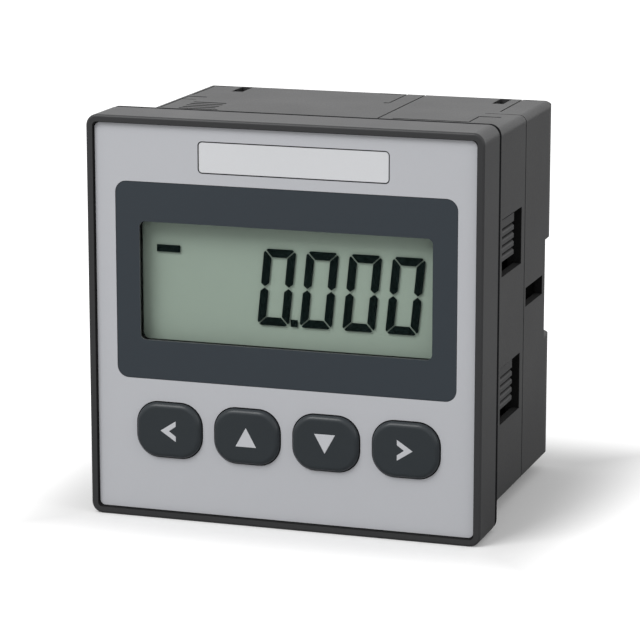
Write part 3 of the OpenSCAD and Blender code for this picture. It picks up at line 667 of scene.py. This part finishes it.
class METER_OT_display(bpy.types.Operator):
    """Sets the display's reflector behind its segments, and finishes the glass, holder and pins"""

    bl_idname = "meter.display"
    bl_label = "Build the display"

    def execute(self, context):
        look = context.scene.meter_display
        low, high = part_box("lcd_back_panel")
        front = low.y + look.depth
        reflector = new_piece(
            "lcd_reflector",
            lambda shape: prism(shape, oblong(low, high), front, high.y),
            display_ground("display ground", look.ground),
            METER,
        )
        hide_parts("lcd_back_panel")
        low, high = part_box("lcd_front_glass")
        cell = new_piece(
            "lcd_cell",
            lambda shape: prism(shape, oblong(low, high), low.y, front + look.seat),
            clear_sheet("display glass", (0.96, 0.98, 0.965), 0.05),
            METER,
        )
        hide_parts("lcd_front_glass")
        dress("digits", smooth_plastic("segment ink", look.ink, 0.6, index=1.1))
        dress("holder", moulded_plastic("holder plastic", slot_colour("holder"), 0.5, 0.3, 0.008))
        dress("pins", metal("tinned pins", slot_colour("pins"), 0.3))
        return {"FINISHED"}


def open_arrow(look, side):
    """Outline of an open arrow whose point is on the left for side 1 and on the right for side -1."""
    w, h, line = look.arrow_w, look.arrow_h, look.arrow_line
    along = line * math.hypot(h / 2, w) / (h / 2)
    end = line * 1.12
    points = [
        (-w / 2, 0),
        (w / 2, h / 2),
        (w / 2, h / 2 - end),
        (along - w / 2, 0),
        (w / 2, end - h / 2),
        (w / 2, -h / 2),
    ]
    return [(side * x, z) for x, z in points]


def triangle(look, side):
    """Outline of a filled triangle that points up for side 1 and down for side -1."""
    w, h = look.triangle_w, look.triangle_h
    return [(-w / 2, -side * h / 2), (w / 2, -side * h / 2), (0, side * h / 2)]


class METER_OT_keys(bpy.types.Operator):
    """Finishes the keys and their switches, and puts the marks on the keys"""

    bl_idname = "meter.keys"
    bl_label = "Build the keys"

    def execute(self, context):
        look = context.scene.meter_keys
        # painted shade on the keys' sides where they drop into the gap in the plate
        dress("key", moulded_plastic("key plastic", look.cap, 0.34, 0.24, 0.004, self.key_unshaded))
        dress("plunger", smooth_plastic("plunger plastic", slot_colour("plunger"), 0.3))
        dress("switch", smooth_plastic("switch plastic", slot_colour("switch"), 0.35))
        paint = smooth_plastic("key mark paint", look.mark, 0.5)
        outlines = {
            "left": open_arrow(look, 1),
            "up": triangle(look, 1),
            "down": triangle(look, -1),
            "right": open_arrow(look, -1),
        }
        for key in KEYS:
            low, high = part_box("key_" + key)
            centre = (low + high) / 2
            outline = [(centre.x + x, centre.z + z) for x, z in outlines[key]]
            mark = new_piece(
                "mark_" + key,
                lambda shape: prism(shape, outline, low.y - look.relief, low.y + look.relief),
                paint,
                key + "_button",
            )
            soften(mark, 0.1)
        return {"FINISHED"}

    def key_unshaded(self, finish):
        """1 on a key down to where its side drops into the gap in the plate, fading to 0 below, where the
        side gets painted shade.
        """
        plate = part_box("front_plate")[0].y
        fade_from, fade_to = plate - 0.5 * MM, plate + 0.1 * MM
        _, y, _, _ = finish.place()
        return 1 - y.smooth(fade_from, fade_to)


class METER_OT_boards(bpy.types.Operator):
    """Finishes the circuit boards and the parts on them"""

    bl_idname = "meter.boards"
    bl_label = "Finish the boards"

    def execute(self, context):
        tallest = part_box("capacitors")[1].z
        finishes = {
            "board": circuit_board("board lacquer", slot_colour("board")),
            "chips": moulded_plastic("chip plastic", slot_colour("chips"), 0.5, 0.2, 0.006),
            "metal_can": metal("tinned metal", slot_colour("metal_can"), 0.28),
            "sockets": smooth_plastic("socket plastic", slot_colour("sockets"), 0.4),
            "core": sheet_stack("core sheets", slot_colour("core")),
            "coil": winding("coil wire", slot_colour("coil")),
            "capacitors": sleeved_can("capacitor sleeve", slot_colour("capacitors"), tallest - 0.2 * MM),
            "relays": moulded_plastic("relay plastic", slot_colour("relays"), 0.42, 0.3, 0.006),
            "fuse_glass": clear_sheet("fuse glass", (0.93, 0.96, 0.96), 0.04),
        }
        for slot, finish in finishes.items():
            dress(slot, finish)
        return {"FINISHED"}


class METER_OT_terminals(bpy.types.Operator):
    """Finishes the terminal strips, their screws and their clamps"""

    bl_idname = "meter.terminals"
    bl_label = "Finish the terminals"

    def execute(self, context):
        colour = slot_colour("terminals")
        dress("terminals", moulded_plastic("terminal plastic", colour, 0.44, 0.3, 0.008))
        dress("screws", metal("zinc plate", slot_colour("screws"), 0.3))
        dress("clamps", metal("plated clamp", slot_colour("clamps"), 0.32))
        return {"FINISHED"}


class METER_OT_cover_screws(bpy.types.Operator):
    """Turns the four cover screws, with cross recesses in their heads"""

    bl_idname = "meter.cover_screws"
    bl_label = "Build the cover screws"

    def execute(self, context):
        look = context.scene.meter_screws
        low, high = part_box("cover_screws")
        head_r, head_t = 2.8 * MM, 2.2 * MM
        shank_r, pitch = 1.5 * MM, 0.5 * MM
        centres = [
            (sx * ((high.x - low.x) / 2 - head_r), sz * ((high.z - low.z) / 2 - head_r))
            for sx in (-1, 1)
            for sz in (-1, 1)
        ]
        turns = int((high.y - head_t - low.y) / pitch) - 1
        profile = [(shank_r * 0.55, low.y)]
        for turn in range(turns):
            start = low.y + (turn + 0.5) * pitch
            profile += [(shank_r * 0.84, start), (shank_r, start + pitch / 2)]
        head = high.y - head_t
        profile += [
            (shank_r, head),
            (head_r, head),
            (head_r, high.y - 0.8 * MM),
            (head_r * 0.93, high.y - 0.35 * MM),
            (head_r * 0.72, high.y),
        ]
        screws = new_piece(
            "cover_screw_set",
            lambda shape: [turned(shape, profile, centre, 40) for centre in centres],
            metal("screw plate", slot_colour("screws"), 0.28),
            METER,
        )
        self.cut_recesses(screws, look, centres, high.y)
        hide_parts("cover_screws")
        return {"FINISHED"}

    def cut_recesses(self, screws, look, centres, top):
        """Cuts a tapered cross into each head and keeps the cut mesh."""
        tool = bmesh.new()
        for x, z in centres:
            for turn in (0, math.pi / 2):
                self.add_arm(tool, look, x, z, turn, top)
        data = bpy.data.meshes.new("recess_tool")
        tool.to_mesh(data)
        tool.free()
        cutter = bpy.data.objects.new("recess_tool", data)
        bpy.context.scene.collection.objects.link(cutter)
        cut = screws.modifiers.new("Recess", "BOOLEAN")
        cut.operation = "DIFFERENCE"
        cut.solver = "EXACT"
        cut.use_self = True
        cut.object = cutter
        graph = bpy.context.evaluated_depsgraph_get()
        result = bpy.data.meshes.new_from_object(screws.evaluated_get(graph))
        screws.modifiers.clear()
        screws.data = result
        bpy.data.objects.remove(cutter)
        screws.data.shade_smooth()
        screws.data.set_sharp_from_angle(angle=math.radians(35))

    def add_arm(self, tool, look, x, z, turn, top):
        """Adds one tapered arm of the cross, which runs out through the top of the head."""
        above = 0.3 * MM
        levels = ((look.recess * 0.3, top - look.recess_depth), (look.recess / 2, top + above))
        half = look.recess_line / 2
        rings = []
        for reach, y in levels:
            corners = [(-reach, -half), (reach, -half), (reach, half), (-reach, half)]
            ring = []
            for u, v in corners:
                du = u * math.cos(turn) - v * math.sin(turn)
                dv = u * math.sin(turn) + v * math.cos(turn)
                ring.append(tool.verts.new((x + du, y, z + dv)))
            rings.append(ring)
        for i in range(4):
            j = (i + 1) % 4
            tool.faces.new((rings[0][i], rings[0][j], rings[1][j], rings[1][i]))
        tool.faces.new(rings[0][::-1])
        tool.faces.new(rings[1])
        bmesh.ops.recalc_face_normals(tool, faces=tool.faces)


class METER_OT_stage(bpy.types.Operator):
    """Sets up the floor, the white surround, the lamps and the camera"""

    bl_idname = "meter.stage"
    bl_label = "Set the stage"

    def execute(self, context):
        look = context.scene.meter_stage
        context.scene.view_settings.view_transform = "Standard"
        self.surround(context, look)
        self.floor(context)
        self.lamp("key light", look.key_power, 0.6, (-0.42, -0.68, 0.86))
        self.lamp("fill light", look.fill_power, 0.6, (0.95, -0.2, 0.4))
        self.camera(context, look)
        return {"FINISHED"}

    def surround(self, context, look):
        """A world that looks white and lights the meter softly."""
        world = bpy.data.worlds.new("soft surround")
        context.scene.world = world
        world.use_nodes = True
        nodes, links = world.node_tree.nodes, world.node_tree.links
        nodes.clear()
        path = nodes.new("ShaderNodeLightPath")
        seen = nodes.new("ShaderNodeMath")
        seen.operation = "MAXIMUM"
        links.new(path.outputs["Is Camera Ray"], seen.inputs[0])
        links.new(path.outputs["Is Glossy Ray"], seen.inputs[1])
        wide = nodes.new("ShaderNodeMath")
        wide.operation = "MAXIMUM"
        links.new(seen.outputs[0], wide.inputs[0])
        links.new(path.outputs["Is Transmission Ray"], wide.inputs[1])
        glow = nodes.new("ShaderNodeMix")
        glow.data_type = "RGBA"
        glow.inputs[6].default_value = (look.ambient, look.ambient, look.ambient, 1)
        glow.inputs[7].default_value = (1, 1, 1, 1)
        links.new(wide.outputs[0], glow.inputs[0])
        light = nodes.new("ShaderNodeBackground")
        links.new(glow.outputs[2], light.inputs["Color"])
        end = nodes.new("ShaderNodeOutputWorld")
        links.new(light.outputs[0], end.inputs["Surface"])

    def floor(self, context):
        """A pale floor that is clear from below and keeps the meter's shadow close to it; for the camera
        it glows, faintly near the meter and strongly further off, which paints light over the shadow
        there.
        """
        finish = Finish("floor paper")
        seen = finish.node("LightPath", output="Is Camera Ray")
        below = finish.node("NewGeometry", output="Backfacing")
        x, y, _, _ = finish.place()
        low, high = cad_box
        aside = x.distance_to(0).beyond(high.x).either(low.y - y).either(y - high.y)
        # painted light: the floor's glow rises from 0.1 beside the meter to 0.62 from 36 mm off, washing
        # out the shadow there
        clear_of_meter = aside.smooth(2 * MM, 36 * MM)
        painted_floor_glow = finish.mix(clear_of_meter, (0.1, 0.1, 0.1), (0.62, 0.62, 0.62))
        shade = finish.mix(seen, (0.45, 0.45, 0.45), (0.86, 0.86, 0.86))
        paper = finish.node("BsdfDiffuse", {}, {"Color": shade})
        glow = finish.node("Emission", {}, {"Color": finish.mix(seen, (0, 0, 0), painted_floor_glow)})
        lit = finish.node("AddShader", {}, [paper, glow])
        clear = finish.node("BsdfTransparent", {}, {})
        finish.output(finish.node("MixShader", {}, {0: below, 1: lit, 2: clear}))
        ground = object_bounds()[0].z
        reach = 3.0
        data = bpy.data.meshes.new("floor")
        corners = [
            (-reach, -reach, ground),
            (reach, -reach, ground),
            (reach, reach, ground),
            (-reach, reach, ground),
        ]
        data.from_pydata(corners, [], [(0, 1, 2, 3)])
        floor = bpy.data.objects.new("floor", data)
        data.materials.append(finish.material)
        context.scene.collection.objects.link(floor)
        floor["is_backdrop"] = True

    def lamp(self, name, power, size, place):
        """A square lamp that faces the meter."""
        light = bpy.data.lights.new(name, "AREA")
        light.energy = power
        light.size = size
        lamp = bpy.data.objects.new(name, light)
        lamp.location = place
        aim = -Vector(place)
        lamp.rotation_euler = aim.to_track_quat("-Z", "Y").to_euler()
        bpy.context.scene.collection.objects.link(lamp)

    def camera(self, context, look):
        """A camera that looks at the middle of the bezel, a little to the right."""
        data = bpy.data.cameras.new("camera")
        data.lens = look.focal
        data.sensor_width = 36
        data.clip_start = 0.01
        camera = bpy.data.objects.new("camera", data)
        aim = Vector((5.1 * MM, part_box("bezel")[0].y + 13 * MM, -0.1 * MM))
        back = Vector(
            (
                math.sin(look.azimuth) * math.cos(look.elevation),
                -math.cos(look.azimuth) * math.cos(look.elevation),
                math.sin(look.elevation),
            )
        )
        camera.location = aim + back * look.distance
        camera.rotation_euler = (-back).to_track_quat("-Z", "Y").to_euler()
        context.scene.collection.objects.link(camera)
        context.scene.camera = camera


class METER_PT_sidebar(bpy.types.Panel):
    """Lists the meter's pieces and the values behind them"""

    bl_idname = "METER_PT_sidebar"
    bl_label = "Panel meter"
    bl_space_type = "VIEW_3D"
    bl_region_type = "UI"
    bl_category = "Panel meter"

    def draw(self, context):
        for group in LOOKS:
            column = self.layout.column(align=True)
            look = getattr(context.scene, group)
            for name in look.__annotations__:
                column.prop(look, name)
        for operator in OPERATORS:
            self.layout.operator(operator.bl_idname)


LOOKS = {
    "meter_case": CaseLook,
    "meter_front": FrontLook,
    "meter_display": DisplayLook,
    "meter_keys": KeyLook,
    "meter_screws": ScrewLook,
    "meter_stage": StageLook,
}
OPERATORS = (
    METER_OT_case,
    METER_OT_front,
    METER_OT_display,
    METER_OT_keys,
    METER_OT_boards,
    METER_OT_terminals,
    METER_OT_cover_screws,
    METER_OT_stage,
)


def register():
    for look in LOOKS.values():
        bpy.utils.register_class(look)
    for group, look in LOOKS.items():
        setattr(bpy.types.Scene, group, bpy.props.PointerProperty(type=look))
    for operator in OPERATORS:
        bpy.utils.register_class(operator)
    bpy.utils.register_class(METER_PT_sidebar)


def unregister():
    bpy.utils.unregister_class(METER_PT_sidebar)
    for operator in reversed(OPERATORS):
        bpy.utils.unregister_class(operator)
    for group in LOOKS:
        delattr(bpy.types.Scene, group)
    for look in reversed(LOOKS.values()):
        bpy.utils.unregister_class(look)


def main():
    register()
    bpy.ops.meter.case()
    bpy.ops.meter.front()
    bpy.ops.meter.display()
    bpy.ops.meter.keys()
    bpy.ops.meter.boards()
    bpy.ops.meter.terminals()
    bpy.ops.meter.cover_screws()
    bpy.ops.meter.stage()


if __name__ == "__main__":
    main()
